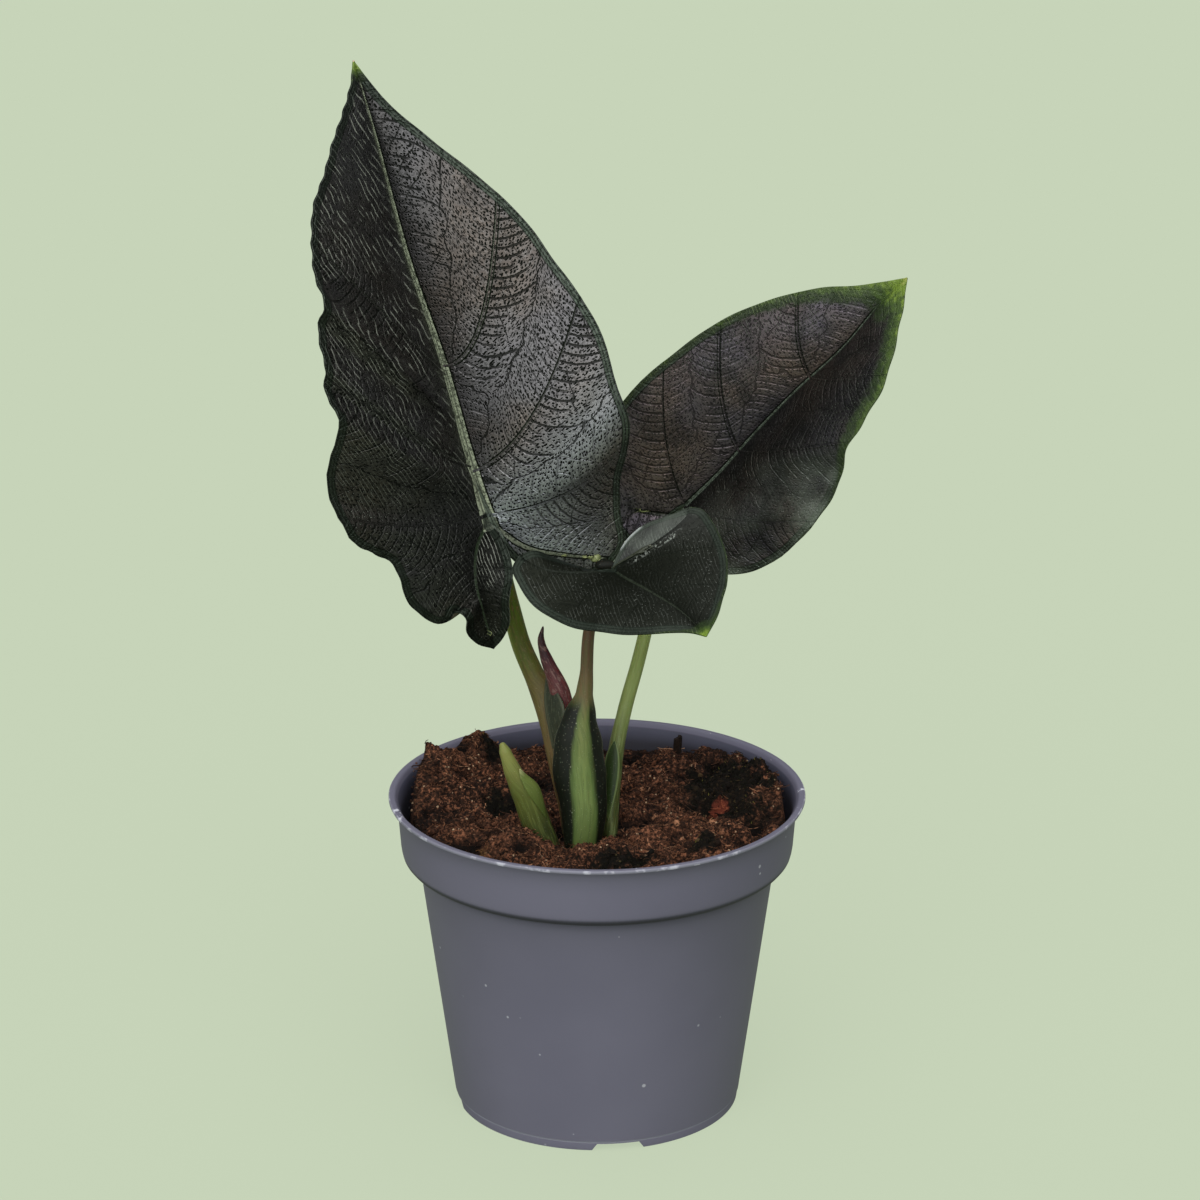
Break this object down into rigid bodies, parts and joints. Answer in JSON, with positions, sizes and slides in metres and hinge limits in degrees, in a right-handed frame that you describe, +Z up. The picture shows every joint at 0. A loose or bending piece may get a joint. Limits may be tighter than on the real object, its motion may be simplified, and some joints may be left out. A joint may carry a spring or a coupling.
{
  "type": "potted alocasia",
  "caption": "Young dark velvet-leaved alocasia in a round nursery pot: ribbed arrow-shaped leaves on green stalks rise from coir potting mix.",
  "frame": {"origin": "centre of the pot's underside, on the surface the pot stands on", "axes": "+Z up the pot's axis, -Y towards the small cupped front leaf, +X towards the right leaf"},
  "size_m": [0.1649, 0.12, 0.3041],
  "materials": {
    "pot": "satin moulded plastic",
    "soil": "loose fibrous coir mix",
    "corm": "rough brown skin",
    "stalk": "smooth waxy plant skin",
    "new_leaf": "satin rolled leaf",
    "cut_stalk": "smooth waxy plant skin",
    "blade": "dark satin leaf with pebbled velvet sheen"
  },
  "bodies": {
    "root": {"pot": "pot", "soil": "soil", "corm": "corm", "petiole_large": "stalk", "petiole_right": "stalk", "petiole_front": "stalk", "new_leaf": "new_leaf", "cut_stalk": "cut_stalk", "blade_large": "blade", "blade_right": "blade", "blade_front": "blade"}
  },
  "joints": []
}
